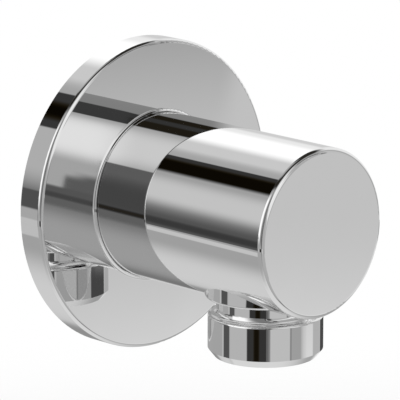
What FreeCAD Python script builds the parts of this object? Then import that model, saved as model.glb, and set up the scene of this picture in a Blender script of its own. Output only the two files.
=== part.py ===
import FreeCAD, Part
import math
import os

from FreeCAD import Vector

# Wall outlet elbow for a shower hose, in millimetres.
# The wall's finished face is the plane Y = 0 and the elbow stands out along -Y, with +Z up.
# The outlet points down. Depths are distances out from the wall, and a negative depth lies in it.

# Wall flange: a turned cup, hollow at its back, that slides on the elbow
FLANGE_DIAMETER = 58.0
FLANGE_DEPTH = 5.3
FLANGE_WALL = 1.8
FLANGE_EDGE_RADIUS = 0.75
FLANGE_INNER_RADIUS = 0.8
FLANGE_HUB_WALL = 3.4
FLANGE_HUB_SETBACK = 0.6
FLANGE_COVE_RADIUS = 0.5
FLANGE_LIP_WIDTH = 0.15
FLANGE_SLIDE_CLEARANCE = 0.05

# Foam ring behind the flange, and the ring that grips the elbow
GASKET_WIDTH = 4.6
GASKET_CLEARANCE = 0.2
FLANGE_RING_SECTION = 2.0
FLANGE_RING_DEPTH = 3.0

# Elbow body: a round brass body with a boss for the outlet, a bore and a drilled waterway
BODY_DIAMETER = 31.0
BODY_REACH = 47.6
BODY_EDGE_RADIUS = 0.9
BODY_BACK_DEPTH = 0.6
BODY_BACK_RADIUS = 0.3
NIPPLE_BORE_DEPTH = 21.2
WATERWAY_DIAMETER = 12.0
WATERWAY_OVERRUN = 0.8
DRILL_POINT_ANGLE = 118.0
OUTLET_DEPTH = 33.6
BOSS_DIAMETER = 22.1
BOSS_BOTTOM = -13.8
BOSS_EDGE_RADIUS = 0.45
OUTLET_PASSAGE_DIAMETER = 11.2

# Outlet spigot: a turned piece screwed up into the boss, with the male thread for the hose
SPIGOT_THREAD_DIAMETER = 18.0
SPIGOT_THREAD_CLEARANCE = 0.02
SPIGOT_SEAT = -7.0
SPIGOT_SEAL_THICKNESS = 1.2
SPIGOT_SEAL_CLEARANCE = 0.1
NECK_FILLET = 1.2
COLLAR_TOP = -17.0
HALF_INCH_THREAD_DIAMETER = 20.955
HALF_INCH_THREADS_PER_INCH = 14
HALF_INCH_THREAD_DEPTH = 1.162
THREAD_FLANK_ANGLE = 27.5
COLLAR_EDGE_RADIUS = 0.4
COLLAR_CHAMFER_TOP = -23.4
COLLAR_CHAMFER_WIDTH = 1.1
SPIGOT_END = -24.8
MOUTH_DIAMETER = 11.8
MOUTH_CHAMFER = 0.4
SPIGOT_KEY_ACROSS_FLATS = 12.0
SPIGOT_KEY_DEPTH = 3.4

# Wall nipple: screwed into the wall fitting, and the elbow slides over its barrel
NIPPLE_BARREL_DIAMETER = 22.0
NIPPLE_FIT_CLEARANCE = 0.05
NIPPLE_END_GAP = 0.5
NIPPLE_BARREL_CHAMFER = 1.2
NIPPLE_SHOULDER_DIAMETER = 25.0
NIPPLE_SHOULDER_BACK = 0.4
NIPPLE_SHOULDER_FRONT = 2.6
NIPPLE_SHOULDER_CLEARANCE = 0.3
NIPPLE_NECK_DIAMETER = 18.6
NIPPLE_NECK_LENGTH = 3.0
WALL_THREAD_LENGTH = 14.0
WALL_THREAD_CHAMFER = 1.2
WALL_THREAD_GROOVES = 6
NIPPLE_BORE_DIAMETER = 11.2
KEY_SOCKET_ACROSS_FLATS = 12.0
KEY_SOCKET_DEPTH = 11.0
NIPPLE_RING_SECTION = 1.75
NIPPLE_RING_SPACING = 3.8
NIPPLE_FRONT_RING_SETBACK = 3.0
RING_SQUEEZE_GAP = 0.03
RING_GROOVE_SIDE_GAP = 0.35
WALL_SEAL_THICKNESS = 2.0
WALL_SEAL_WIDTH = 1.9
WALL_SEAL_CLEARANCE = 0.1

# Grub screw from below, whose point enters a turned groove of the nipple
GRUB_SCREW_DIAMETER = 5.0
GRUB_SCREW_DEPTH_FROM_WALL = 9.6
GRUB_SCREW_RECESS = 0.6
GRUB_SCREW_POINT_LENGTH = 1.5
GRUB_SCREW_POINT_RADIUS = 1.0
GRUB_SCREW_HEAD_CHAMFER = 0.2
GRUB_SCREW_KEY_ACROSS_FLATS = 2.5
GRUB_SCREW_KEY_DEPTH = 2.4
GRUB_SCREW_CLEARANCE = 0.04
GRUB_GROOVE_DEPTH = 1.3
GRUB_GROOVE_FLOOR_WIDTH = 2.4
GRUB_POINT_GAP = 0.02

# Check valve: a cartridge in the spigot that lets water down and never back
VALVE_BORE_DIAMETER = 14.3
VALVE_LEDGE = -20.4
VALVE_END_GAP = 0.05
VALVE_HOUSING_LENGTH = 12.05
VALVE_HOUSING_CLEARANCE = 0.15
VALVE_HOUSING_INNER_DIAMETER = 11.9
VALVE_SEAT_WALL = 3.0
VALVE_INLET_DIAMETER = 8.2
VALVE_SEAT_CONE_WIDTH = 0.7
VALVE_SEAT_CONE_HEIGHT = 0.6
VALVE_RING_SECTION = 1.35
VALVE_RING_DROP = 1.4
POPPET_HEAD_DIAMETER = 9.6
POPPET_HEAD_THICKNESS = 1.3
POPPET_HEAD_DROP = 0.5
POPPET_HEAD_ROUNDING = 0.3
POPPET_NOSE_DIAMETER = 6.6
POPPET_NOSE_HEIGHT = 1.8
POPPET_NOSE_ROUNDING = 1.1
POPPET_SPRING_SEAT_DIAMETER = 4.0
POPPET_SPRING_SEAT_HEIGHT = 1.0
POPPET_STEM_DIAMETER = 2.6
POPPET_TRAVEL = 2.2
POPPET_STOP_GAP = 0.02
SEAL_TO_SEAT_GAP = 0.3
SEAL_SIDE_GAP = 0.02
GUIDE_HEIGHT = 1.6
GUIDE_RIM_WIDTH = 1.1
GUIDE_SEAT_WIDTH = 0.3
GUIDE_FIT_CLEARANCE = 0.04
GUIDE_HUB_DIAMETER = 4.2
GUIDE_STEM_CLEARANCE = 0.06
GUIDE_SPOKES = 3
GUIDE_SPOKE_WIDTH = 1.4
SPRING_WIRE_DIAMETER = 0.45
SPRING_MEAN_DIAMETER = 5.3
SPRING_TURNS = 4.5
SPRING_END_GAP = 0.03

# Worked out from the values above, and used by more than one piece
BODY_RADIUS = BODY_DIAMETER / 2
WATERWAY_RADIUS = WATERWAY_DIAMETER / 2
SPIGOT_THREAD_RADIUS = SPIGOT_THREAD_DIAMETER / 2
SPIGOT_SOCKET_RADIUS = SPIGOT_THREAD_RADIUS + SPIGOT_THREAD_CLEARANCE
SPIGOT_TOP = SPIGOT_SEAT - SPIGOT_SEAL_THICKNESS
MOUTH_RADIUS = MOUTH_DIAMETER / 2
BARREL_RADIUS = NIPPLE_BARREL_DIAMETER / 2
NIPPLE_BORE_RADIUS = BARREL_RADIUS + NIPPLE_FIT_CLEARANCE
BARREL_END_DEPTH = NIPPLE_BORE_DEPTH - NIPPLE_END_GAP
HALF_INCH_THREAD_RADIUS = HALF_INCH_THREAD_DIAMETER / 2
HALF_INCH_THREAD_PITCH = 25.4 / HALF_INCH_THREADS_PER_INCH
FLANGE_BORE_RADIUS = BODY_RADIUS + FLANGE_SLIDE_CLEARANCE
FLANGE_HUB_RADIUS = FLANGE_BORE_RADIUS + FLANGE_HUB_WALL
VALVE_BORE_RADIUS = VALVE_BORE_DIAMETER / 2
VALVE_BOTTOM = VALVE_LEDGE + VALVE_END_GAP
VALVE_TOP = VALVE_BOTTOM + VALVE_HOUSING_LENGTH
VALVE_SEAT = VALVE_TOP - VALVE_SEAT_WALL
POPPET_HEAD_TOP = VALVE_SEAT - POPPET_HEAD_DROP
POPPET_HEAD_BOTTOM = POPPET_HEAD_TOP - POPPET_HEAD_THICKNESS
POPPET_STOP_FACE = POPPET_HEAD_BOTTOM - POPPET_SPRING_SEAT_HEIGHT
GUIDE_TOP = VALVE_BOTTOM + GUIDE_HEIGHT
GUIDE_HUB_TOP = POPPET_STOP_FACE - POPPET_TRAVEL - POPPET_STOP_GAP
GUIDE_BORE_RADIUS = POPPET_STEM_DIAMETER / 2 + GUIDE_STEM_CLEARANCE
GRUB_GROOVE_RADIUS = BARREL_RADIUS - GRUB_GROOVE_DEPTH


def rounded_face(corners):
    """Flat face in the XZ plane through corners (radius, height) or (radius, height, rounding)."""
    points = [Vector(corner[0], 0, corner[1]) for corner in corners]
    roundings = [corner[2] if len(corner) > 2 else 0 for corner in corners]
    ends = []
    edges = []
    for index, point in enumerate(points):
        to_last = (points[index - 1] - point).normalize()
        to_next = (points[(index + 1) % len(points)] - point).normalize()
        if not roundings[index]:
            ends.append((point, point))
            continue
        half_angle = to_last.getAngle(to_next) / 2
        reach = roundings[index] / math.tan(half_angle)
        middle = (to_last + to_next).normalize()
        centre = point + middle * (roundings[index] / math.sin(half_angle))
        start = point + to_last * reach
        end = point + to_next * reach
        edges.append(Part.Arc(start, centre - middle * roundings[index], end).toShape())
        ends.append((start, end))
    for index in range(len(points)):
        start = ends[index][1]
        end = ends[(index + 1) % len(points)][0]
        if start.distanceToPoint(end) > 1e-6:
            edges.append(Part.LineSegment(start, end).toShape())
    return Part.Face(Part.Wire(Part.__sortEdges__(edges)))


def turned(corners):
    """Solid turned about the Z axis from its half outline."""
    return rounded_face(corners).revolve(Vector(), Vector(0, 0, 1), 360)


def turned_from_wall(corners):
    """Solid turned about the wall axis. The corners' heights are depths out from the wall."""
    solid = turned(corners)
    solid.rotate(Vector(), Vector(1, 0, 0), 90)
    return solid


def turned_at_outlet(corners):
    """Solid turned about the upright outlet axis. The corners' heights are heights Z."""
    solid = turned(corners)
    solid.translate(Vector(0, -OUTLET_DEPTH, 0))
    return solid


def box_outline(inner, outer, low, high):
    """Four corners of a plain ring's half section."""
    return [(inner, low), (outer, low), (outer, high), (inner, high)]


def round_ring(mean_radius, height, section):
    """Ring of round section about the Z axis."""
    return Part.makeTorus(mean_radius, section / 2, Vector(0, 0, height))


def hexagon_prism(across_flats, length):
    """Six-sided prism on the Z axis, from Z = 0 up."""
    corner_radius = across_flats / math.sqrt(3)
    angles = [math.radians(60 * side) for side in range(7)]
    corners = [Vector(corner_radius * math.cos(a), corner_radius * math.sin(a), 0) for a in angles]
    return Part.Face(Part.makePolygon(corners)).extrude(Vector(0, 0, length))


def groove_floor(bore_radius, section):
    """Radius of a groove's floor whose ring reaches the bore with the squeeze gap on both sides."""
    return bore_radius - section - 2 * RING_SQUEEZE_GAP


def ring_mean_radius(bore_radius, section):
    """Mean radius of a round ring that seals inside a bore."""
    return bore_radius - RING_SQUEEZE_GAP - section / 2


def nipple_ring_depths():
    """Depths of the two sealing rings on the nipple's barrel, front one first."""
    front = BARREL_END_DEPTH - NIPPLE_FRONT_RING_SETBACK
    return [front, front - NIPPLE_RING_SPACING]


def wall_flange():
    outer = FLANGE_DIAMETER / 2
    lip_radius = BODY_RADIUS + FLANGE_SLIDE_CLEARANCE + FLANGE_LIP_WIDTH
    lip_depth = FLANGE_DEPTH + FLANGE_COVE_RADIUS
    cup = turned_from_wall([
        (FLANGE_BORE_RADIUS, 0),
        (outer, 0),
        (outer, FLANGE_DEPTH, FLANGE_EDGE_RADIUS),
        (lip_radius, FLANGE_DEPTH, FLANGE_COVE_RADIUS),
        (lip_radius, lip_depth),
        (FLANGE_BORE_RADIUS, lip_depth),
    ])
    hollow = turned_from_wall([
        (FLANGE_BORE_RADIUS - 1, -1),
        (outer - FLANGE_WALL, -1),
        (outer - FLANGE_WALL, FLANGE_DEPTH - FLANGE_WALL, FLANGE_INNER_RADIUS),
        (FLANGE_HUB_RADIUS, FLANGE_DEPTH - FLANGE_WALL, FLANGE_INNER_RADIUS),
        (FLANGE_HUB_RADIUS, FLANGE_HUB_SETBACK),
        (FLANGE_BORE_RADIUS - 1, FLANGE_HUB_SETBACK),
    ])
    half_groove = FLANGE_RING_SECTION / 2 + RING_GROOVE_SIDE_GAP / 2
    groove = turned_from_wall(box_outline(
        FLANGE_BORE_RADIUS - 1,
        BODY_RADIUS + FLANGE_RING_SECTION + 2 * RING_SQUEEZE_GAP,
        FLANGE_RING_DEPTH - half_groove,
        FLANGE_RING_DEPTH + half_groove,
    ))
    return cup.cut(hollow).cut(groove)


def flange_gasket():
    outer = FLANGE_DIAMETER / 2 - FLANGE_WALL - GASKET_CLEARANCE
    floor = FLANGE_DEPTH - FLANGE_WALL
    return turned_from_wall([
        (outer - GASKET_WIDTH, 0),
        (outer, 0),
        (outer, floor, FLANGE_INNER_RADIUS),
        (outer - GASKET_WIDTH, floor, FLANGE_INNER_RADIUS),
    ])


def flange_o_ring():
    mean_radius = BODY_RADIUS + RING_SQUEEZE_GAP + FLANGE_RING_SECTION / 2
    ring = round_ring(mean_radius, FLANGE_RING_DEPTH, FLANGE_RING_SECTION)
    ring.rotate(Vector(), Vector(1, 0, 0), 90)
    return ring


def nipple_bore():
    """Everything that is bored into the body from its back."""
    shoulder_bore = NIPPLE_SHOULDER_DIAMETER / 2 + NIPPLE_SHOULDER_CLEARANCE
    shoulder_floor = NIPPLE_SHOULDER_FRONT + NIPPLE_SHOULDER_CLEARANCE
    lead_in = NIPPLE_RING_SECTION / 2
    waterway_end = OUTLET_DEPTH + WATERWAY_RADIUS + WATERWAY_OVERRUN
    drill_point = WATERWAY_RADIUS / math.tan(math.radians(DRILL_POINT_ANGLE / 2))
    return turned_from_wall([
        (0, -1),
        (shoulder_bore, -1),
        (shoulder_bore, shoulder_floor),
        (NIPPLE_BORE_RADIUS + lead_in, shoulder_floor),
        (NIPPLE_BORE_RADIUS, shoulder_floor + 2 * lead_in),
        (NIPPLE_BORE_RADIUS, NIPPLE_BORE_DEPTH),
        (WATERWAY_RADIUS, NIPPLE_BORE_DEPTH),
        (WATERWAY_RADIUS, waterway_end),
        (0, waterway_end + drill_point),
    ])


def outlet_boss():
    return turned_at_outlet([
        (0, 0),
        (BOSS_DIAMETER / 2, 0),
        (BOSS_DIAMETER / 2, BOSS_BOTTOM, BOSS_EDGE_RADIUS),
        (0, BOSS_BOTTOM),
    ])


def spigot_socket():
    """The stepped hole from below: the spigot's thread, and the passage from the waterway."""
    return turned_at_outlet([
        (0, -BODY_RADIUS - 1),
        (SPIGOT_SOCKET_RADIUS, -BODY_RADIUS - 1),
        (SPIGOT_SOCKET_RADIUS, SPIGOT_SEAT),
        (OUTLET_PASSAGE_DIAMETER / 2, SPIGOT_SEAT),
        (OUTLET_PASSAGE_DIAMETER / 2, 0),
        (0, 0),
    ])


def grub_screw_hole():
    radius = GRUB_SCREW_DIAMETER / 2 + GRUB_SCREW_CLEARANCE
    start = Vector(0, -GRUB_SCREW_DEPTH_FROM_WALL, -BODY_RADIUS - 1)
    return Part.makeCylinder(radius, BODY_RADIUS + 1, start)


def elbow_body():
    round_body = turned_from_wall([
        (0, BODY_BACK_DEPTH),
        (BODY_RADIUS, BODY_BACK_DEPTH, BODY_BACK_RADIUS),
        (BODY_RADIUS, BODY_REACH, BODY_EDGE_RADIUS),
        (0, BODY_REACH),
    ])
    casting = round_body.fuse(outlet_boss()).removeSplitter()
    return casting.cut(nipple_bore()).cut(spigot_socket()).cut(grub_screw_hole())


def outlet_spigot():
    collar_radius = HALF_INCH_THREAD_RADIUS
    blank = turned_at_outlet([
        (VALVE_BORE_RADIUS, SPIGOT_TOP),
        (SPIGOT_THREAD_RADIUS, SPIGOT_TOP),
        (SPIGOT_THREAD_RADIUS, COLLAR_TOP, NECK_FILLET),
        (collar_radius, COLLAR_TOP, COLLAR_EDGE_RADIUS),
        (collar_radius, COLLAR_CHAMFER_TOP),
        (collar_radius - COLLAR_CHAMFER_WIDTH, SPIGOT_END),
        (MOUTH_RADIUS + MOUTH_CHAMFER, SPIGOT_END),
        (MOUTH_RADIUS, SPIGOT_END + MOUTH_CHAMFER),
        (MOUTH_RADIUS, VALVE_LEDGE),
        (VALVE_BORE_RADIUS, VALVE_LEDGE),
    ])
    key = hexagon_prism(SPIGOT_KEY_ACROSS_FLATS, SPIGOT_KEY_DEPTH + 1)
    key.translate(Vector(0, -OUTLET_DEPTH, SPIGOT_END - 1))
    return blank.cut(key)


def spigot_seal():
    outer = SPIGOT_SOCKET_RADIUS - SPIGOT_SEAL_CLEARANCE
    inner = OUTLET_PASSAGE_DIAMETER / 2 + SPIGOT_SEAL_CLEARANCE
    return turned_at_outlet(box_outline(inner, outer, SPIGOT_TOP, SPIGOT_SEAT))


def thread_groove(middle):
    """Ring to cut away as one turn of the half inch thread, with sloping flanks and a flat root."""
    flank = HALF_INCH_THREAD_DEPTH * math.tan(math.radians(THREAD_FLANK_ANGLE))
    half_root = (HALF_INCH_THREAD_PITCH / 2 - flank) / 2
    half_mouth = half_root + flank
    root = HALF_INCH_THREAD_RADIUS - HALF_INCH_THREAD_DEPTH
    return turned_from_wall([
        (root, middle - half_root),
        (HALF_INCH_THREAD_RADIUS, middle - half_mouth),
        (HALF_INCH_THREAD_RADIUS + 1, middle - half_mouth),
        (HALF_INCH_THREAD_RADIUS + 1, middle + half_mouth),
        (HALF_INCH_THREAD_RADIUS, middle + half_mouth),
        (root, middle + half_root),
    ])


def wall_nipple():
    thread_start = -NIPPLE_NECK_LENGTH
    thread_end = thread_start - WALL_THREAD_LENGTH
    half_floor = GRUB_GROOVE_FLOOR_WIDTH / 2
    half_mouth = half_floor + GRUB_GROOVE_DEPTH
    grub = GRUB_SCREW_DEPTH_FROM_WALL
    bore = NIPPLE_BORE_DIAMETER / 2
    blank = turned_from_wall([
        (bore, thread_end),
        (HALF_INCH_THREAD_RADIUS - WALL_THREAD_CHAMFER, thread_end),
        (HALF_INCH_THREAD_RADIUS, thread_end + WALL_THREAD_CHAMFER),
        (HALF_INCH_THREAD_RADIUS, thread_start - WALL_THREAD_CHAMFER),
        (NIPPLE_NECK_DIAMETER / 2, thread_start),
        (NIPPLE_NECK_DIAMETER / 2, NIPPLE_SHOULDER_BACK),
        (NIPPLE_SHOULDER_DIAMETER / 2, NIPPLE_SHOULDER_BACK),
        (NIPPLE_SHOULDER_DIAMETER / 2, NIPPLE_SHOULDER_FRONT),
        (BARREL_RADIUS, NIPPLE_SHOULDER_FRONT),
        (BARREL_RADIUS, grub - half_mouth),
        (GRUB_GROOVE_RADIUS, grub - half_floor),
        (GRUB_GROOVE_RADIUS, grub + half_floor),
        (BARREL_RADIUS, grub + half_mouth),
        (BARREL_RADIUS, BARREL_END_DEPTH - NIPPLE_BARREL_CHAMFER),
        (BARREL_RADIUS - NIPPLE_BARREL_CHAMFER / 2, BARREL_END_DEPTH),
        (bore, BARREL_END_DEPTH),
    ])
    half_groove = NIPPLE_RING_SECTION / 2 + RING_GROOVE_SIDE_GAP
    floor = groove_floor(NIPPLE_BORE_RADIUS, NIPPLE_RING_SECTION)
    for depth in nipple_ring_depths():
        outline = box_outline(floor, BARREL_RADIUS + 1, depth - half_groove, depth + half_groove)
        blank = blank.cut(turned_from_wall(outline))
    thread_middle = (thread_start + thread_end) / 2
    for number in range(WALL_THREAD_GROOVES):
        turns_from_middle = number - (WALL_THREAD_GROOVES - 1) / 2
        groove = thread_groove(thread_middle + turns_from_middle * HALF_INCH_THREAD_PITCH)
        blank = blank.cut(groove)
    socket = hexagon_prism(KEY_SOCKET_ACROSS_FLATS, KEY_SOCKET_DEPTH + 1)
    socket.rotate(Vector(), Vector(1, 0, 0), 90)
    socket.translate(Vector(0, KEY_SOCKET_DEPTH - BARREL_END_DEPTH, 0))
    return blank.cut(socket)


def nipple_o_ring(depth):
    mean_radius = ring_mean_radius(NIPPLE_BORE_RADIUS, NIPPLE_RING_SECTION)
    ring = round_ring(mean_radius, depth, NIPPLE_RING_SECTION)
    ring.rotate(Vector(), Vector(1, 0, 0), 90)
    return ring


def nipple_wall_seal():
    inner = HALF_INCH_THREAD_RADIUS + WALL_SEAL_CLEARANCE
    front = NIPPLE_SHOULDER_BACK
    back = front - WALL_SEAL_THICKNESS
    return turned_from_wall(box_outline(inner, inner + WALL_SEAL_WIDTH, back, front))


def grub_screw():
    radius = GRUB_SCREW_DIAMETER / 2
    point = -GRUB_GROOVE_RADIUS - GRUB_POINT_GAP
    head = -BODY_RADIUS + GRUB_SCREW_RECESS
    screw = turned([
        (0, head),
        (radius - GRUB_SCREW_HEAD_CHAMFER, head),
        (radius, head + GRUB_SCREW_HEAD_CHAMFER),
        (radius, point - GRUB_SCREW_POINT_LENGTH),
        (GRUB_SCREW_POINT_RADIUS, point),
        (0, point),
    ])
    key = hexagon_prism(GRUB_SCREW_KEY_ACROSS_FLATS, GRUB_SCREW_KEY_DEPTH + 1)
    key.translate(Vector(0, 0, head - 1))
    screw = screw.cut(key)
    screw.translate(Vector(0, -GRUB_SCREW_DEPTH_FROM_WALL, 0))
    return screw


def valve_housing():
    outer = VALVE_BORE_RADIUS - VALVE_HOUSING_CLEARANCE
    inner = VALVE_HOUSING_INNER_DIAMETER / 2
    inlet = VALVE_INLET_DIAMETER / 2
    guide_seat = inner + GUIDE_SEAT_WIDTH
    tube = turned_at_outlet([
        (inlet, VALVE_TOP),
        (outer, VALVE_TOP),
        (outer, VALVE_BOTTOM),
        (guide_seat, VALVE_BOTTOM),
        (guide_seat, GUIDE_TOP),
        (inner, GUIDE_TOP),
        (inner, VALVE_SEAT),
        (inlet + VALVE_SEAT_CONE_WIDTH, VALVE_SEAT),
        (inlet, VALVE_SEAT + VALVE_SEAT_CONE_HEIGHT),
    ])
    half_groove = VALVE_RING_SECTION / 2 + RING_GROOVE_SIDE_GAP / 2
    ring_height = VALVE_TOP - VALVE_RING_DROP
    floor = groove_floor(VALVE_BORE_RADIUS, VALVE_RING_SECTION)
    outline = box_outline(floor, outer + 1, ring_height - half_groove, ring_height + half_groove)
    return tube.cut(turned_at_outlet(outline))


def valve_o_ring():
    mean_radius = ring_mean_radius(VALVE_BORE_RADIUS, VALVE_RING_SECTION)
    ring = round_ring(mean_radius, VALVE_TOP - VALVE_RING_DROP, VALVE_RING_SECTION)
    ring.translate(Vector(0, -OUTLET_DEPTH, 0))
    return ring


def valve_poppet():
    stem_end = VALVE_BOTTOM + GUIDE_HEIGHT / 2
    stem_radius = POPPET_STEM_DIAMETER / 2
    head_radius = POPPET_HEAD_DIAMETER / 2
    return turned_at_outlet([
        (0, stem_end),
        (stem_radius, stem_end, POPPET_HEAD_ROUNDING),
        (stem_radius, POPPET_STOP_FACE),
        (POPPET_SPRING_SEAT_DIAMETER / 2, POPPET_STOP_FACE, POPPET_HEAD_ROUNDING),
        (POPPET_SPRING_SEAT_DIAMETER / 2, POPPET_HEAD_BOTTOM),
        (head_radius, POPPET_HEAD_BOTTOM, POPPET_HEAD_ROUNDING),
        (head_radius, POPPET_HEAD_TOP, POPPET_HEAD_ROUNDING),
        (POPPET_NOSE_DIAMETER / 2, POPPET_HEAD_TOP),
        (POPPET_NOSE_DIAMETER / 2, POPPET_HEAD_TOP + POPPET_NOSE_HEIGHT, POPPET_NOSE_ROUNDING),
        (0, POPPET_HEAD_TOP + POPPET_NOSE_HEIGHT),
    ])


def poppet_seal():
    """Rubber ring on the poppet's nose, with its slope parallel to the housing's conical seat."""
    slope = math.atan2(VALVE_SEAT_CONE_HEIGHT, VALVE_SEAT_CONE_WIDTH)
    drop = SEAL_TO_SEAT_GAP / math.cos(slope)
    seat_inner = VALVE_INLET_DIAMETER / 2
    inner = POPPET_NOSE_DIAMETER / 2 + SEAL_SIDE_GAP
    low = POPPET_HEAD_TOP + SEAL_SIDE_GAP
    outer = POPPET_HEAD_DIAMETER / 2 - POPPET_HEAD_ROUNDING
    fall = math.tan(slope)
    top_of_slope = VALVE_SEAT + VALVE_SEAT_CONE_HEIGHT - drop
    shelf = (inner + seat_inner) / 2
    return turned_at_outlet([
        (inner, low),
        (outer, low),
        (outer, top_of_slope - (outer - seat_inner) * fall),
        (shelf, top_of_slope + (seat_inner - shelf) * fall),
        (inner, top_of_slope + (seat_inner - shelf) * fall),
    ])


def valve_guide():
    rim_radius = VALVE_HOUSING_INNER_DIAMETER / 2 + GUIDE_SEAT_WIDTH - GUIDE_FIT_CLEARANCE
    hub_radius = GUIDE_HUB_DIAMETER / 2
    rim = turned(box_outline(rim_radius - GUIDE_RIM_WIDTH, rim_radius, VALVE_BOTTOM, GUIDE_TOP))
    hub = turned(box_outline(GUIDE_BORE_RADIUS, hub_radius, VALVE_BOTTOM, GUIDE_HUB_TOP))
    wheel = rim.fuse(hub)
    middle = (GUIDE_BORE_RADIUS + hub_radius) / 2
    spoke_length = rim_radius - GUIDE_RIM_WIDTH / 2 - middle
    for index in range(GUIDE_SPOKES):
        corner = Vector(middle, -GUIDE_SPOKE_WIDTH / 2, VALVE_BOTTOM)
        spoke = Part.makeBox(spoke_length, GUIDE_SPOKE_WIDTH, GUIDE_HEIGHT, corner)
        spoke.rotate(Vector(), Vector(0, 0, 1), 360 * index / GUIDE_SPOKES)
        wheel = wheel.fuse(spoke)
    wheel = wheel.removeSplitter()
    wheel.translate(Vector(0, -OUTLET_DEPTH, 0))
    return wheel


def valve_spring():
    """Coiled wire in half turns. Each is a tilted half ring, so they meet without a kink."""
    wire_radius = SPRING_WIRE_DIAMETER / 2
    coil_radius = SPRING_MEAN_DIAMETER / 2
    low = GUIDE_TOP + SPRING_END_GAP + wire_radius
    high = POPPET_HEAD_BOTTOM - SPRING_END_GAP - wire_radius
    half_turns = round(2 * SPRING_TURNS)
    rise = (high - low) / half_turns
    halves = []
    for index in range(half_turns):
        side = 1 if index % 2 == 0 else -1
        start = Vector(side * coil_radius, 0, low + index * rise)
        middle = Vector(0, 0, start.z + rise / 2)
        axis = Vector(side * rise, 0, 2 * coil_radius)
        section = Part.Face(Part.Wire(Part.makeCircle(wire_radius, start, Vector(0, 1, 0))))
        halves.append(section.revolve(middle, axis, 180))
    spring = halves[0].fuse(halves[1:])
    spring.translate(Vector(0, -OUTLET_DEPTH, 0))
    return spring


def all_pieces():
    front_ring, rear_ring = nipple_ring_depths()
    return {
        "wall_flange": wall_flange(),
        "flange_gasket": flange_gasket(),
        "flange_o_ring": flange_o_ring(),
        "elbow_body": elbow_body(),
        "outlet_spigot": outlet_spigot(),
        "spigot_seal": spigot_seal(),
        "wall_nipple": wall_nipple(),
        "nipple_front_o_ring": nipple_o_ring(front_ring),
        "nipple_rear_o_ring": nipple_o_ring(rear_ring),
        "nipple_wall_seal": nipple_wall_seal(),
        "grub_screw": grub_screw(),
        "valve_housing": valve_housing(),
        "valve_o_ring": valve_o_ring(),
        "valve_poppet": valve_poppet(),
        "poppet_seal": poppet_seal(),
        "valve_spring": valve_spring(),
        "valve_guide": valve_guide(),
    }


def main():
    os.makedirs("parts", exist_ok=True)
    for name, shape in all_pieces().items():
        shape.exportStep(f"parts/{name}.step")
        box = shape.BoundBox
        print(
            f"{name:20s} solids {len(shape.Solids)} valid {shape.isValid()} volume {shape.Volume:9.2f}"
            f"  x {box.XMin:6.2f} {box.XMax:6.2f}  y {box.YMin:6.2f} {box.YMax:6.2f}"
            f"  z {box.ZMin:6.2f} {box.ZMax:6.2f}"
        )


main()
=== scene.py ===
import math

import bmesh
import bpy
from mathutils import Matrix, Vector


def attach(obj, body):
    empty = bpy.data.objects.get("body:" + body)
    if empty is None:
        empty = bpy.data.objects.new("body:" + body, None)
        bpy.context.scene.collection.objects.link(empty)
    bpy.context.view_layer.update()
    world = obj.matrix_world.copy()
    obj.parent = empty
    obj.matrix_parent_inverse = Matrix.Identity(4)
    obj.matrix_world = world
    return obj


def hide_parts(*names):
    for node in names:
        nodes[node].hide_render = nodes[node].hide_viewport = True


# Wall outlet elbow, in metres. The wall is the plane Y = 0, +Z is up and the outlet points down.
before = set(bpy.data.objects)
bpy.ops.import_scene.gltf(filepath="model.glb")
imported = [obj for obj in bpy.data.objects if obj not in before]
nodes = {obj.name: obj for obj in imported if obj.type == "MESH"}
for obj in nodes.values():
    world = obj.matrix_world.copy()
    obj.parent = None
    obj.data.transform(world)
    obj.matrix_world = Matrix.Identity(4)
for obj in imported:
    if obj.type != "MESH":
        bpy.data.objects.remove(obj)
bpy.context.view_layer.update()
scene = bpy.context.scene

# Camera, measured from the photograph
CAMERA_AZIMUTH = -45.15
CAMERA_ELEVATION = 13.98
CAMERA_DISTANCE = 0.6477
CAMERA_LENS = 321.4
SENSOR_WIDTH = 36.0
NEAREST_SEEN = 0.01
FARTHEST_SEEN = 20.0
TURNED_ABOUT = Vector((0, -0.025, 0))
AIMED_AT = Vector((-0.003715, -0.0205, 0.002167))

# Places on the elbow that its finishes read
OUTLET_AXIS_Y = -0.0336
BOSS_BOTTOM_Z = -0.0138
SOCKET_RADIUS = 0.00905
SOCKET_TOP_Z = -0.0055
BORE_RADIUS = 0.0129
BORE_FRONT_Y = -0.0435
SPIGOT_BORE_RADIUS = 0.0074
MOUTH_Z = -0.0242
HOLLOW_RADIUS = 0.02725
HOLLOW_FRONT_Y = -0.0037

# How a finish changes into the next one
SHARP_EDGE = 0.0001
SOCKET_RIM_EDGE = 0.0004
SOCKET_TOP_EDGE = 0.0005
BORE_FRONT_EDGE = 0.001
MOUTH_EDGE = 0.0012
RAGGED_EDGE = 0.0006

# The half inch pipe thread on the wall nipple
THREAD_PITCH = 0.001814
THREAD_DEPTH = 0.001162
THREAD_RADIUS = 0.0104775
THREAD_START_Y = 0.003
THREAD_END_Y = 0.017
THREAD_END_RADIUS = 0.0093
THREAD_CHAMFER_SLOPE = 0.98
THREAD_SIDES = 96
THREAD_ROWS_PER_TURN = 8
BARREL_MARGIN = 0.0001
SEAM = 0.00003
SAME_PLACE = 0.000001
SHARP_ANGLE = 28

# Floor under the object. It is whole up to the first share of its radius and gone at the second.
FLOOR_HEIGHT = -0.09
FLOOR_RADIUS = 0.24
FLOOR_SIDES = 96
FLOOR_WHOLE = 0.35
FLOOR_GONE = 0.98
FLOOR_GLOW = 0.6


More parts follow.
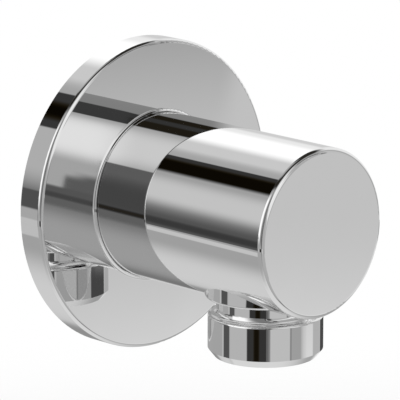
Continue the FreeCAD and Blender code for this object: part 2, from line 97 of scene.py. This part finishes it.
class Number:
    """A shader or geometry value. Python's operators on it each add one Math node."""

    def __init__(self, graph, socket):
        self.graph = graph
        self.socket = socket

    def math(self, operation, *values):
        return self.graph.add("ShaderNodeMath", {"operation": operation}, *values)

    def __add__(self, other):
        return self.math("ADD", self, other)

    def __sub__(self, other):
        return self.math("SUBTRACT", self, other)

    def __rsub__(self, other):
        return self.math("SUBTRACT", other, self)

    def __mul__(self, other):
        return self.math("MULTIPLY", self, other)

    def __truediv__(self, other):
        return self.math("DIVIDE", self, other)

    __radd__ = __add__
    __rmul__ = __mul__

    def root(self):
        return self.math("SQRT", self)

    def size(self):
        return self.math("ABSOLUTE", self)

    def part(self):
        """What is left after the whole number."""
        return self.math("FRACT", self)

    def smaller(self, other):
        return self.math("MINIMUM", self, other)

    def larger(self, other):
        return self.math("MAXIMUM", self, other)

    def step(self, low, high):
        """0 below low and 1 above high, with a smooth run between them."""
        settings = {"interpolation_type": "SMOOTHSTEP"}
        return self.graph.add("ShaderNodeMapRange", settings, self, low, high, 0.0, 1.0)

    def output(self, name):
        """Another output of the same node."""
        return Number(self.graph, self.socket.node.outputs[name])


class Graph:
    """The node tree of a material, of the world or of a geometry modifier, built from nothing."""

    def __init__(self, tree):
        self.tree = tree
        tree.nodes.clear()

    def add(self, kind, settings=None, *values, **named):
        """One node. Its settings come first, then the values or links of its sockets."""
        node = self.tree.nodes.new(kind)
        for key, value in (settings or {}).items():
            setattr(node, key, value)
        for place, value in enumerate(values):
            self.connect(value, node.inputs[place])
        for name, value in named.items():
            self.connect(value, node.inputs[name.replace("_", " ")])
        return Number(self, node.outputs[0] if node.outputs else None)

    def connect(self, value, socket):
        if isinstance(value, Number):
            self.tree.links.new(value.socket, socket)
        elif isinstance(value, tuple) and socket.type == "RGBA":
            socket.default_value = (*value, 1.0)
        else:
            socket.default_value = value

    def parts(self, vector):
        """The X, Y and Z of a vector."""
        x = self.add("ShaderNodeSeparateXYZ", {}, vector)
        return x, x.output("Y"), x.output("Z")

    def vector(self, x, y, z):
        return self.add("ShaderNodeCombineXYZ", {}, x, y, z)

    def mix(self, share, first, second):
        """The first colour at share 0 and the second at share 1."""
        node = self.tree.nodes.new("ShaderNodeMix")
        node.data_type = "RGBA"
        self.connect(share, node.inputs[0])
        self.connect(first, node.inputs[6])
        self.connect(second, node.inputs[7])
        return Number(self, node.outputs[2])

    def noise(self, vector, scale, detail=3.0, roughness=0.55):
        """Soft uneven patches. At a scale of 1000 they are about a millimetre wide."""
        return self.add(
            "ShaderNodeTexNoise",
            {},
            Vector=vector,
            Scale=scale,
            Detail=detail,
            Roughness=roughness,
        )

    def lines(self, along, spacing):
        """Fine lines square to one direction, as turning leaves them."""
        only_along = self.vector(along, 0.0, 0.0)
        return self.noise(only_along, 1 / spacing, detail=2.0, roughness=0.7)

    def bump(self, height, depth):
        """A Bump node's normal, with its depth in metres."""
        return self.add("ShaderNodeBump", {}, Height=height, Distance=depth)

    def shade(self, colour, roughness, metallic, normal):
        """The main shader and the output."""
        shader = self.add(
            "ShaderNodeBsdfPrincipled",
            {},
            Base_Color=colour,
            Roughness=roughness,
            Metallic=metallic,
            Normal=normal,
        )
        self.add("ShaderNodeOutputMaterial", {}, shader)


def distance(first, second):
    """Distance from an axis, from the two coordinates square to it."""
    return (first * first + second * second).root()


def within(radius, first, second, edge=SHARP_EDGE):
    """1 inside a radius round an axis and 0 outside it, with a narrow edge between them."""
    return 1 - distance(first, second).step(radius, radius + edge)


def new_material(name):
    """A material, its graph and the place on the piece."""
    made = bpy.data.materials.new(name)
    made.use_nodes = True
    graph = Graph(made.node_tree)
    return made, graph, graph.add("ShaderNodeTexCoord").output("Object")


# Finishes
METAL = 1.0
NO_METAL = 0.0
WHITE = (1.0, 1.0, 1.0)
CHROME = (0.885, 0.885, 0.885)
CHROME_HAZE = (0.87, 0.87, 0.87)
THIN_CHROME = (0.70, 0.69, 0.67)
THINNED_PLATING = 0.85
BRASS = (0.80, 0.60, 0.30)
BRASS_TARNISH = (0.60, 0.42, 0.19)
TURNED_LINE_SPACING = 0.00012
TURNED_LINE_DEPTH = 0.000006
# Painted shade: the darker foam colour that sits on the floor of each cell
FOAM_CELL_PAINTED_SHADE = (0.035, 0.035, 0.038)
FOAM_WALL = (0.115, 0.115, 0.12)
FOAM_DUST = (0.07, 0.07, 0.075)
FIBRE = (0.36, 0.10, 0.065)
FIBRE_DARK = (0.26, 0.065, 0.045)


def brass_look(graph, place, along):
    """Colour, roughness and height of turned brass that has dulled unevenly."""
    tarnish = graph.noise(place, 350.0, detail=4.0, roughness=0.6).step(0.35, 0.75)
    lines = graph.lines(along, TURNED_LINE_SPACING)
    colour = graph.mix(tarnish, BRASS, BRASS_TARNISH)
    return colour, 0.22 + tarnish * 0.14 + lines * 0.08, lines


def plated(name, find_inside, inner_plating=0.0):
    """Bright chrome outside. Inside it thins out to dull plate or to bare turned brass."""
    made, graph, place = new_material(name)
    x, y, z = graph.parts(place)
    haze = graph.noise(place, 160.0)
    polish = graph.noise(place, 2600.0, detail=2.0)
    bright = graph.mix(haze, CHROME, CHROME_HAZE)
    bright_roughness = 0.006 + haze * 0.008 + polish * 0.003
    bare, bare_roughness, lines = brass_look(graph, place, y + z)
    inner = graph.mix(inner_plating, bare, THIN_CHROME)
    ragged = graph.noise(place, 900.0) * (2 * RAGGED_EDGE) - RAGGED_EDGE
    inside = find_inside(x, y, z, ragged)
    colour = graph.mix(inside, bright, inner)
    roughness = bright_roughness + (bare_roughness - bright_roughness) * inside
    height = lines * inside + polish * 0.006
    graph.shade(colour, roughness, METAL, graph.bump(height, TURNED_LINE_DEPTH))
    return made


def inside_body(x, y, z, ragged):
    """The bores of the body, but not its end face or the underside of its boss."""
    near_wall_axis = within(BORE_RADIUS, x, z)
    behind_end_face = y.step(BORE_FRONT_Y - BORE_FRONT_EDGE, BORE_FRONT_Y)
    near_outlet_axis = within(SOCKET_RADIUS, x, y - OUTLET_AXIS_Y, SHARP_EDGE / 2)
    above_rim = z.step(BOSS_BOTTOM_Z, BOSS_BOTTOM_Z + SOCKET_RIM_EDGE)
    below_top = 1 - z.step(SOCKET_TOP_Z - SOCKET_TOP_EDGE, SOCKET_TOP_Z)
    in_socket = near_outlet_axis * (above_rim * below_top)
    return (near_wall_axis * behind_end_face).larger(in_socket)


def inside_spigot(x, y, z, ragged):
    """The spigot's bore, where the plating fades a little way in from the mouth."""
    near_axis = within(SPIGOT_BORE_RADIUS, x, y - OUTLET_AXIS_Y)
    return near_axis * (z + ragged).step(MOUTH_Z, MOUTH_Z + MOUTH_EDGE)


def inside_flange(x, y, z, ragged):
    """The hollow behind the flange, which the plating reaches but no polishing does."""
    return within(HOLLOW_RADIUS, x, z) * y.step(HOLLOW_FRONT_Y - SHARP_EDGE, HOLLOW_FRONT_Y)


def turned_brass(name):
    """Bare brass with fine lines round the wall axis."""
    made, graph, place = new_material(name)
    along = graph.parts(place)[1]
    colour, roughness, lines = brass_look(graph, place, along)
    graph.shade(colour, roughness, METAL, graph.bump(lines, TURNED_LINE_DEPTH))
    return made


def drawn_steel(name, colour, dull, scale):
    """Stainless steel with fine marks and a few dull patches."""
    made, graph, place = new_material(name)
    marks = graph.noise(place, scale, detail=4.0, roughness=0.7)
    patches = graph.noise(place, 700.0)
    graph.shade(
        graph.mix(patches, colour, dull),
        0.18 + marks * 0.16 + patches * 0.06,
        METAL,
        graph.bump(marks, depth=0.000004),
    )
    return made


def moulded_rubber(name, colour, bloom):
    """Smooth rubber with a pale bloom in patches."""
    made, graph, place = new_material(name)
    patches = graph.noise(place, 500.0, detail=4.0, roughness=0.6)
    grain = graph.noise(place, 9000.0, detail=2.0)
    graph.shade(
        graph.mix(patches.step(0.3, 0.8), colour, bloom),
        0.42 + patches * 0.2,
        NO_METAL,
        graph.bump(grain, depth=0.000008),
    )
    return made


def closed_cell_foam(name):
    """Dark foam with small round cells, each with painted shade on its floor."""
    made, graph, place = new_material(name)
    cells = graph.add("ShaderNodeTexVoronoi", {}, Vector=place, Scale=2600.0)
    walls_and_painted_pit_shade = cells.step(0.1, 0.55)
    tone = graph.noise(place, 300.0)
    # Painted shade: the floor of each cell is coloured darker than its walls
    colour = graph.mix(walls_and_painted_pit_shade, FOAM_CELL_PAINTED_SHADE, FOAM_WALL)
    colour = graph.mix(tone * 0.5, colour, FOAM_DUST)
    graph.shade(colour, 0.82 + tone * 0.12, NO_METAL, graph.bump(walls_and_painted_pit_shade, depth=0.00006))
    return made


def pressed_fibre(name):
    """Dull red sealing ring of pressed fibre, mottled and slightly rough."""
    made, graph, place = new_material(name)
    x, y, z = graph.parts(place)
    mottle = graph.noise(place, 1400.0, detail=5.0, roughness=0.65)
    fibres = graph.noise(graph.vector(x, y * 6, z), 4200.0)
    colour = graph.mix(mottle.step(0.3, 0.7), FIBRE, FIBRE_DARK)
    graph.shade(colour, 0.62 + mottle * 0.2, NO_METAL, graph.bump(fibres, depth=0.00002))
    return made


def moulded_plastic(name, colour, shade_colour):
    """Satin plastic with a faint flow mottle and a fine moulded grain."""
    made, graph, place = new_material(name)
    flow = graph.noise(place, 260.0)
    grain = graph.noise(place, 6500.0, detail=2.0)
    graph.shade(
        graph.mix(flow, colour, shade_colour),
        0.34 + grain * 0.14,
        NO_METAL,
        graph.bump(grain, depth=0.000006),
    )
    return made


steel_screw = drawn_steel("screw_steel", (0.62, 0.62, 0.63), (0.50, 0.50, 0.51), 3000.0)
steel_spring = drawn_steel("spring_wire", (0.68, 0.68, 0.69), (0.55, 0.55, 0.57), 6000.0)
black_rubber = moulded_rubber("black_rubber", (0.022, 0.022, 0.024), (0.06, 0.06, 0.063))
red_fibre = pressed_fibre("red_fibre")
brass = turned_brass("turned_brass")
white_plastic = moulded_plastic("white_plastic", (0.84, 0.84, 0.81), (0.76, 0.76, 0.73))
blue_plastic = moulded_plastic("blue_plastic", (0.15, 0.33, 0.60), (0.11, 0.26, 0.50))
FINISHES = {
    "wall_flange": plated("plated_flange", inside_flange, THINNED_PLATING),
    "elbow_body": plated("plated_body", inside_body),
    "outlet_spigot": plated("plated_spigot", inside_spigot),
    "flange_gasket": closed_cell_foam("grey_foam"),
    "flange_o_ring": black_rubber,
    "nipple_front_o_ring": black_rubber,
    "nipple_rear_o_ring": black_rubber,
    "valve_o_ring": black_rubber,
    "poppet_seal": black_rubber,
    "spigot_seal": red_fibre,
    "nipple_wall_seal": red_fibre,
    "wall_nipple": brass,
    "grub_screw": steel_screw,
    "valve_spring": steel_spring,
    "valve_housing": white_plastic,
    "valve_guide": white_plastic,
    "valve_poppet": blue_plastic,
}
for name, finish in FINISHES.items():
    mesh = nodes[name].data
    mesh.materials.clear()
    mesh.materials.append(finish)


def thread_tree():
    """Geometry nodes that wrap a grid round the Y axis as a thread, with its rows on the helix."""
    tree = bpy.data.node_groups.new("pipe_thread", "GeometryNodeTree")
    graph = Graph(tree)
    sizes = {
        "Pitch": THREAD_PITCH,
        "Depth": THREAD_DEPTH,
        "Radius": THREAD_RADIUS,
        "End radius": THREAD_END_RADIUS,
        "Chamfer slope": THREAD_CHAMFER_SLOPE,
        "Start": THREAD_START_Y + SEAM,
        "End": THREAD_END_Y - SEAM,
    }
    for name, value in sizes.items():
        socket = tree.interface.new_socket(name, in_out="INPUT", socket_type="NodeSocketFloat")
        socket.default_value = value
    tree.interface.new_socket("Geometry", in_out="OUTPUT", socket_type="NodeSocketGeometry")
    given = graph.add("NodeGroupInput")
    pitch, depth, radius = (given.output(name) for name in ("Pitch", "Depth", "Radius"))
    start, end = given.output("Start"), given.output("End")
    slope, end_radius = given.output("Chamfer slope"), given.output("End radius")

    turns = math.ceil((THREAD_END_Y - THREAD_START_Y) / THREAD_PITCH) + 2
    rows = turns * THREAD_ROWS_PER_TURN
    grid = graph.add("GeometryNodeMeshGrid", {}, math.tau, turns, THREAD_SIDES + 1, rows + 1)
    across, up = graph.parts(graph.add("GeometryNodeInputPosition"))[:2]
    phase = up + turns / 2
    y = (start + (phase - 1 + across / math.tau) * pitch).larger(start).smaller(end)
    row = 1 / THREAD_ROWS_PER_TURN
    from_crest = 0.5 - ((phase - row / 2).part() - 0.5).size()
    height = ((0.5 - row / 2 - from_crest) / (0.5 - row)).larger(0.0).smaller(1.0)
    thread = radius - depth * (1 - height)
    chamfer = end_radius + (y - start).smaller(end - y) * slope
    r = thread.smaller(chamfer)
    place = graph.vector(r * across.math("SINE", across), y, r * across.math("COSINE", across))
    wrapped = graph.add("GeometryNodeSetPosition", {}, grid, Position=place)
    joined = graph.add("GeometryNodeMergeByDistance", {}, wrapped, Distance=SAME_PLACE)
    real = graph.add("GeometryNodeRealizeInstances", {}, joined)
    finished = graph.add("GeometryNodeSetMaterial", {}, real, Material=brass)
    graph.add("NodeGroupOutput", {}, finished)
    return tree


def thread_mesh():
    """The thread's surface as a plain mesh."""
    carrier = bpy.data.objects.new("thread_carrier", bpy.data.meshes.new("thread_carrier"))
    scene.collection.objects.link(carrier)
    modifier = carrier.modifiers.new("thread", "NODES")
    modifier.node_group = thread_tree()
    evaluated = carrier.evaluated_get(bpy.context.evaluated_depsgraph_get())
    mesh = bpy.data.meshes.new_from_object(evaluated)
    carrier.modifiers.remove(modifier)
    bpy.data.objects.remove(carrier)
    return mesh


def open_rim(work, height):
    """The edges of an open rim at a height Y."""
    return [
        edge
        for edge in work.edges
        if edge.is_boundary and all(abs(vert.co.y - height) < SEAM / 4 for vert in edge.verts)
    ]


def threaded_nipple():
    """The wall nipple with its thread cut. The helix takes the place of the ringed barrel."""
    work = bmesh.new()
    work.from_mesh(nodes["wall_nipple"].data)
    bmesh.ops.remove_doubles(work, verts=work.verts, dist=SAME_PLACE)
    ringed = []
    for face in work.faces:
        middle = face.calc_center_median()
        outer = math.hypot(middle.x, middle.z) > THREAD_END_RADIUS - BARREL_MARGIN
        if outer and THREAD_START_Y < middle.y < THREAD_END_Y - SEAM:
            ringed.append(face)
    bmesh.ops.delete(work, geom=ringed, context="FACES")
    work.from_mesh(thread_mesh())
    for cad_height, height in (
        (THREAD_START_Y, THREAD_START_Y + SEAM),
        (THREAD_END_Y, THREAD_END_Y - SEAM),
    ):
        rims = open_rim(work, cad_height) + open_rim(work, height)
        bmesh.ops.bridge_loops(work, edges=rims)
    bmesh.ops.recalc_face_normals(work, faces=work.faces)
    for face in work.faces:
        face.smooth = True
    mesh = bpy.data.meshes.new("threaded_wall_nipple")
    work.to_mesh(mesh)
    work.free()
    mesh.set_sharp_from_angle(angle=math.radians(SHARP_ANGLE))
    mesh.materials.clear()
    mesh.materials.append(brass)
    piece = bpy.data.objects.new("threaded_wall_nipple", mesh)
    scene.collection.objects.link(piece)
    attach(piece, "elbow")
    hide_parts("wall_nipple")


threaded_nipple()

# What the bright metal mirrors, as panels laid over each other in this order. Each is a band of
# directions that turns about the wall axis Y or the upright axis Z, from one angle in degrees to
# another, with a soft edge. It reaches from low to high along that axis, where -1 and 1 are the
# axis's own two directions, each end with its own softness. Its last number is its brightness.
ALL_ROUND = (0, 360, 0)
NO_LOW = (-2, 0)
NO_HIGH = (2, 0)
WALL_SIDE = (0.60, 0.10)
WALL_CORNER = (0.711, 0.008)
ROOM_SIDE = (-0.665, 0.03)
ROOM_CORNER = (-0.712, 0.0002)
AHEAD = (-0.745, 0.02)
COLLAR_BAND = (-0.305, 0.02, -0.25, 0.02)
STUDIO_PANELS = [
    ("plain room", "Y", *ALL_ROUND, *NO_LOW, *NO_HIGH, 0.40),
    ("broad light from below", "Y", -118, -66, 52, *NO_LOW, *NO_HIGH, 0.75),
    ("right softbox", "Y", -28, 4, 20, -0.05, 0.4, *NO_HIGH, 1.08),
    ("right glow", "Y", -2, 43, 10, -0.32, 0.3, *NO_HIGH, 0.90),
    ("dark card overhead", "Y", 49, 122, 8, -0.45, 0.2, *NO_HIGH, 0.025),
    ("grey gap overhead", "Y", 77, 104, 12, 0.15, 0.5, *NO_HIGH, 0.42),
    ("left softbox", "Y", 133, 184, 14, -0.05, 0.4, *NO_HIGH, 1.15),
    ("left card", "Y", 120, 190, 14, *NO_LOW, -0.25, 0.3, 0.20),
    ("ceiling by the room", "Y", 80, 126, 14, *NO_LOW, -0.47, 0.25, 0.72),
    ("wall side", "Y", *ALL_ROUND, *WALL_SIDE, *NO_HIGH, 0.39),
    ("low light by the wall", "Y", -96, -88, 84, *WALL_SIDE, *NO_HIGH, 0.67),
    ("low right by the wall", "Y", -56, -29, 20, *WALL_SIDE, *NO_HIGH, 0.29),
    ("right wall light", "Y", -24, 104, 10, *WALL_SIDE, *NO_HIGH, 0.65),
    ("glow beside the softbox", "Y", 14, 50, 14, *WALL_SIDE, *NO_HIGH, 0.90),
    ("overhead softbox", "Y", 35, 63, 24, *WALL_SIDE, *NO_HIGH, 1.20),
    ("shade beside the softbox", "Y", 96, 112, 20, *WALL_SIDE, *NO_HIGH, 0.41),
    ("left wall light", "Y", 144, 166, 26, *WALL_SIDE, *NO_HIGH, 0.615),
    ("dim end of the left light", "Y", 128, 178, 16, *WALL_CORNER, *NO_HIGH, 0.47),
    ("black flag overhead", "Y", 102.3, 120, 1.6, *WALL_SIDE, *NO_HIGH, 0.035),
    ("core of the flag", "Y", 109, 127, 6, *WALL_SIDE, *NO_HIGH, 0.004),
    ("end of the flag", "Y", 102.3, 131.5, 1.5, *WALL_CORNER, *NO_HIGH, 0.04),
    ("core of the flag's end", "Y", 112, 123, 8, *WALL_CORNER, *NO_HIGH, 0.003),
    ("bright gap under the flag", "Y", -154.5, -149, 1.5, *WALL_SIDE, *NO_HIGH, 0.60),
    ("dark flag at the left", "Z", 130, 143.5, 2, -0.285, 0.01, 0.06, 0.34, 0.095),
    ("line in the dark flag", "Y", -168, -161, 6, *WALL_SIDE, *NO_HIGH, 0.045),
    ("dark end of the left flag", "Y", 179, 194, 1.5, *WALL_CORNER, *NO_HIGH, 0.085),
    ("light under the left flag", "Y", -167, -157, 2, *WALL_CORNER, *NO_HIGH, 0.42),
    ("gap under the left flag", "Y", -159, -146, 1.5, *WALL_CORNER, *NO_HIGH, 0.56),
    ("room side", "Y", *ALL_ROUND, *NO_LOW, *ROOM_SIDE, 0.22),
    ("room floor light", "Y", -122, -82, 60, *NO_LOW, *ROOM_SIDE, 0.41),
    ("right of the room", "Y", -24, 27, 6, *NO_LOW, *ROOM_SIDE, 0.26),
    ("room ceiling", "Y", 66.5, 194, 3, *NO_LOW, *ROOM_SIDE, 0.46),
    ("room softbox", "Y", 90, 116, 46, *NO_LOW, *ROOM_SIDE, 0.75),
    ("near end of the room softbox", "Y", 99, 116, 60, *NO_LOW, -0.710, 0.010, 0.95),
    ("bright edge of the room", "Y", -24, 27, 8, -0.690, 0.006, -0.55, 0.1, 0.58),
    ("room flag", "Y", 26.5, 66.5, 3, *NO_LOW, *ROOM_SIDE, 0.016),
    ("middle of the room flag", "Y", 41, 50, 6, *NO_LOW, *ROOM_SIDE, 0.04),
    ("lit end of the room flag", "Y", 22, 39, 3, *NO_LOW, -0.7055, 0.0008, 0.26),
    ("grey end of the room flag", "Y", 38, 66, 3, *NO_LOW, -0.7085, 0.003, 0.05),
    ("room left card", "Y", 133.5, 196, 2, *ROOM_CORNER, *ROOM_SIDE, 0.13),
    ("low part of the left card", "Y", 158, 196, 26, *ROOM_CORNER, *ROOM_SIDE, 0.07),
    ("end of the left card", "Y", 160.5, 194, 12, -0.7155, 0.0050, *ROOM_CORNER, 0.125),
    ("tip of the left card", "Y", 166, 194, 11, -0.7184, 0.0010, *ROOM_CORNER, 0.125),
    ("foot of the left card", "Y", 183, 196, 5, *NO_LOW, *ROOM_CORNER, 0.11),
    ("under the left card", "Y", 194, 210, 8, *NO_LOW, *ROOM_SIDE, 0.14),
    ("shade under the left card", "Y", 192.5, 198, 5, *NO_LOW, *ROOM_CORNER, 0.07),
    ("edge of the left card", "Y", 192.5, 198, 4, *ROOM_CORNER, *ROOM_SIDE, 0.022),
    ("ahead", "Y", *ALL_ROUND, *NO_LOW, *AHEAD, 0.45),
    ("softbox ahead", "Y", 80, 138, 20, *NO_LOW, *AHEAD, 1.0),
    ("card ahead", "Y", 152, 204, 24, -0.84, 0.06, *AHEAD, 0.07),
    ("light straight ahead", "Y", -22, 146, 30, *NO_LOW, -0.90, 0.08, 0.90),
    ("collar dark card", "Z", -174, -134, 1.5, *COLLAR_BAND, 0.036),
    ("collar black card", "Z", -158, -149, 6, *COLLAR_BAND, 0.008),
    ("collar light", "Z", -126, -86, 3, *COLLAR_BAND, 0.56),
    ("collar line", "Z", -85, -82, 2, *COLLAR_BAND, 0.25),
    ("collar grey", "Z", -82, -60, 2, *COLLAR_BAND, 0.38),
    ("table", "Z", -50, -12, 24, -0.46, 0.12, -0.195, 0.07, 0.60),
    ("lit part of the table", "Z", -50, -12, 24, -0.46, 0.12, -0.27, 0.06, 0.80),
    ("collar right light", "Z", -26, 3, 4, *COLLAR_BAND, 0.48),
    ("collar right card", "Z", 4, 50, 3, *COLLAR_BAND, 0.07),
    ("collar back wall", "Z", 50, 129, 4, *COLLAR_BAND, 0.40),
    ("collar left line", "Z", 135.5, 147.5, 2, *COLLAR_BAND, 0.09),
    ("collar left light", "Z", 149, 187, 3, *COLLAR_BAND, 0.50),
]
WARM_DARK = (1.0, 0.72, 0.30)
WARM_BELOW = 0.04


def build_studio():
    """The world. The camera sees plain white, and everything else sees the panels."""
    world = bpy.data.worlds.new("studio")
    world.use_nodes = True
    scene.world = world
    graph = Graph(world.node_tree)
    x, y, z = graph.parts(graph.add("ShaderNodeTexCoord"))
    views = {"Y": (y, z, distance(x, z)), "Z": (z, y, distance(x, y))}
    light = x * 0.0
    for _, axis, start, end, soft, low, low_soft, high, high_soft, level in STUDIO_PANELS:
        along, side, radius = views[axis]
        share = 1.0
        if (start, end) != ALL_ROUND[:2]:
            middle = math.radians((start + end) / 2)
            half = (end - start) / 2
            toward = (x * math.cos(middle) + side * math.sin(middle)) / radius
            inner = math.cos(math.radians(max(half - soft / 2, 0.0)))
            outer = math.cos(math.radians(half + soft / 2))
            share = toward.step(outer, inner)
        if low != NO_LOW[0]:
            share = share * along.step(low - low_soft / 2, low + low_soft / 2)
        if high != NO_HIGH[0]:
            share = share * (1 - along.step(high - high_soft / 2, high + high_soft / 2))
        light = light + (level - light) * share
    camera = graph.add("ShaderNodeLightPath")
    warmth = light.step(0.0, WARM_BELOW).larger(camera)
    strength = light + (1 - light) * camera
    colour = graph.mix(warmth, WARM_DARK, WHITE)
    background = graph.add("ShaderNodeBackground", {}, colour, strength)
    graph.add("ShaderNodeOutputWorld", {}, background)


def build_floor():
    """A pale round floor that keeps the object's shadow and melts into the white round it."""
    work = bmesh.new()
    bmesh.ops.create_circle(work, cap_ends=True, segments=FLOOR_SIDES, radius=FLOOR_RADIUS)
    mesh = bpy.data.meshes.new("floor")
    work.to_mesh(mesh)
    work.free()
    floor = bpy.data.objects.new("floor", mesh)
    floor.location = (0, TURNED_ABOUT.y, FLOOR_HEIGHT)
    scene.collection.objects.link(floor)
    made, graph, place = new_material("pale_floor")
    x, y = graph.parts(place)[:2]
    tone = graph.noise(place, 60.0)
    diffuse = graph.add("ShaderNodeBsdfDiffuse", {}, graph.mix(tone, (0.90,) * 3, (0.88,) * 3))
    white = graph.add("ShaderNodeEmission", {}, WHITE, 1.0)
    path = graph.add("ShaderNodeLightPath")
    surface = graph.add("ShaderNodeMixShader", {}, path * FLOOR_GLOW, diffuse, white)
    nothing = graph.add("ShaderNodeBsdfTransparent")
    from_below = graph.add("ShaderNodeNewGeometry").output("Backfacing")
    edge = distance(x, y).step(FLOOR_RADIUS * FLOOR_WHOLE, FLOOR_RADIUS * FLOOR_GONE)
    open_share = edge.larger(from_below).larger(path.output("Is Glossy Ray"))
    shown = graph.add("ShaderNodeMixShader", {}, open_share, surface, nothing)
    graph.add("ShaderNodeOutputMaterial", {}, shown)
    mesh.materials.append(made)


def add_lamp(name, place, size, power):
    """A soft square lamp aimed at the object. Metal mirrors the studio panels and not the lamp."""
    data = bpy.data.lights.new(name, "AREA")
    data.size = size
    data.energy = power
    lamp = bpy.data.objects.new(name, data)
    lamp.location = place
    lamp.rotation_mode = "QUATERNION"
    lamp.rotation_quaternion = (Vector(place) - TURNED_ABOUT).to_track_quat("Z", "Y")
    lamp.visible_glossy = False
    scene.collection.objects.link(lamp)


def add_camera():
    """The photograph's own view."""
    data = bpy.data.cameras.new("photo_camera")
    data.lens = CAMERA_LENS
    data.sensor_width = SENSOR_WIDTH
    data.clip_start = NEAREST_SEEN
    data.clip_end = FARTHEST_SEEN
    camera = bpy.data.objects.new("photo_camera", data)
    azimuth = math.radians(CAMERA_AZIMUTH)
    elevation = math.radians(CAMERA_ELEVATION)
    level = math.cos(elevation)
    back = Vector((math.sin(azimuth) * level, -math.cos(azimuth) * level, math.sin(elevation)))
    camera.location = TURNED_ABOUT + back * CAMERA_DISTANCE
    camera.rotation_mode = "QUATERNION"
    camera.rotation_quaternion = (camera.location - AIMED_AT).to_track_quat("Z", "Y")
    scene.collection.objects.link(camera)
    scene.camera = camera


build_studio()
build_floor()
add_lamp("key_lamp", place=(-0.55, -0.65, 0.95), size=0.7, power=5.0)
add_lamp("wall_side_lamp", place=(0.55, 0.75, 0.55), size=0.7, power=4.0)
add_camera()
scene.view_settings.view_transform = "Standard"
